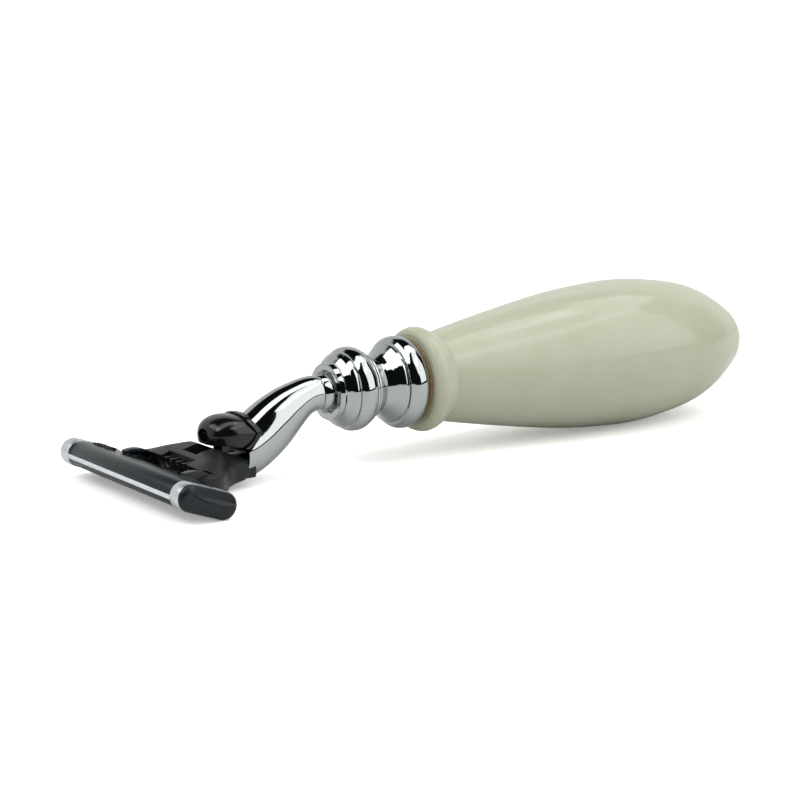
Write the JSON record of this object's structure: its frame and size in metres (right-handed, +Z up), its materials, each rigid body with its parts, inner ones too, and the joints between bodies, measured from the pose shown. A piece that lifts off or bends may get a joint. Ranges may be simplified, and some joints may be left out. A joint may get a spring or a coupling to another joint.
{
  "type": "cartridge razor",
  "caption": "Wet shaving razor lying blades down: ivory bulb handle, chrome collars and swan neck, sprung pivoting blade cartridge on a release nose.",
  "frame": {"origin": "on the table under the middle of the razor", "axes": "+X from the blades to the butt of the handle, +Y along the blades, +Z up"},
  "size_m": [0.1362, 0.0428, 0.0273],
  "materials": {
    "ivory_resin": "polished cast resin, cream ivory",
    "chrome": "polished chrome plate",
    "brass": "turned",
    "stud_steel": "turned",
    "blade_steel": "ground",
    "clip_steel": "bright rolled",
    "spring_steel": "drawn wire",
    "button_black": "glossy moulded",
    "yoke_black": "satin moulded",
    "housing_grey": "satin moulded",
    "plunger_black": "satin moulded",
    "guard_rubber": "soft moulded fins",
    "strip_white": "water soluble polymer strip",
    "seal_amber": "fibre washer, amber brown"
  },
  "bodies": {
    "handle_body": {"handle": "ivory_resin", "handle_insert": "brass", "tie_stud": "stud_steel", "seal_washer": "seal_amber", "rear_collar": "chrome", "front_collar": "chrome", "neck": "chrome", "ejector_spring": "spring_steel", "plunger_spring": "spring_steel"},
    "button": {"release_button": "button_black", "ejector_slide": "stud_steel"},
    "plunger": {"plunger": "plunger_black"},
    "yoke": {"yoke": "yoke_black"},
    "blade_unit": {"blade_housing": "housing_grey", "guard_strip": "guard_rubber", "lubricating_strip": "strip_white", "blade_1": "blade_steel", "blade_2": "blade_steel", "blade_3": "blade_steel", "blade_support_1": "stud_steel", "blade_support_2": "stud_steel", "blade_support_3": "stud_steel", "clip_left": "clip_steel", "clip_right": "clip_steel"}
  },
  "joints": [
    {"name": "cartridge_release", "type": "slide", "parent": "handle_body", "child": "yoke", "axis": [-1, 0, 0], "range_m": [0, 0.012]},
    {"name": "head_pivot", "type": "hinge", "parent": "yoke", "child": "blade_unit", "pos_m": [-0.05964, 0, 0.00003], "axis": [0, 1, 0], "range_deg": [0, 41], "stiffness_Nm_per_rad": 0.01, "springref_deg": -28.65},
    {"name": "plunger_slide", "type": "slide", "parent": "handle_body", "child": "plunger", "axis": [1, 0, 0], "range_m": [0, 0.00232], "deforming": ["plunger_spring"]},
    {"name": "button_slide", "type": "slide", "parent": "handle_body", "child": "button", "axis": [-1, 0, 0], "range_m": [0, 0.003], "stiffness_N_per_m": 400, "springref_m": -0.001, "deforming": ["ejector_spring"]}
  ],
  "couplings": [
    {"joint": "plunger_slide", "follows": "head_pivot", "m_per_rad": 0.0032}
  ]
}
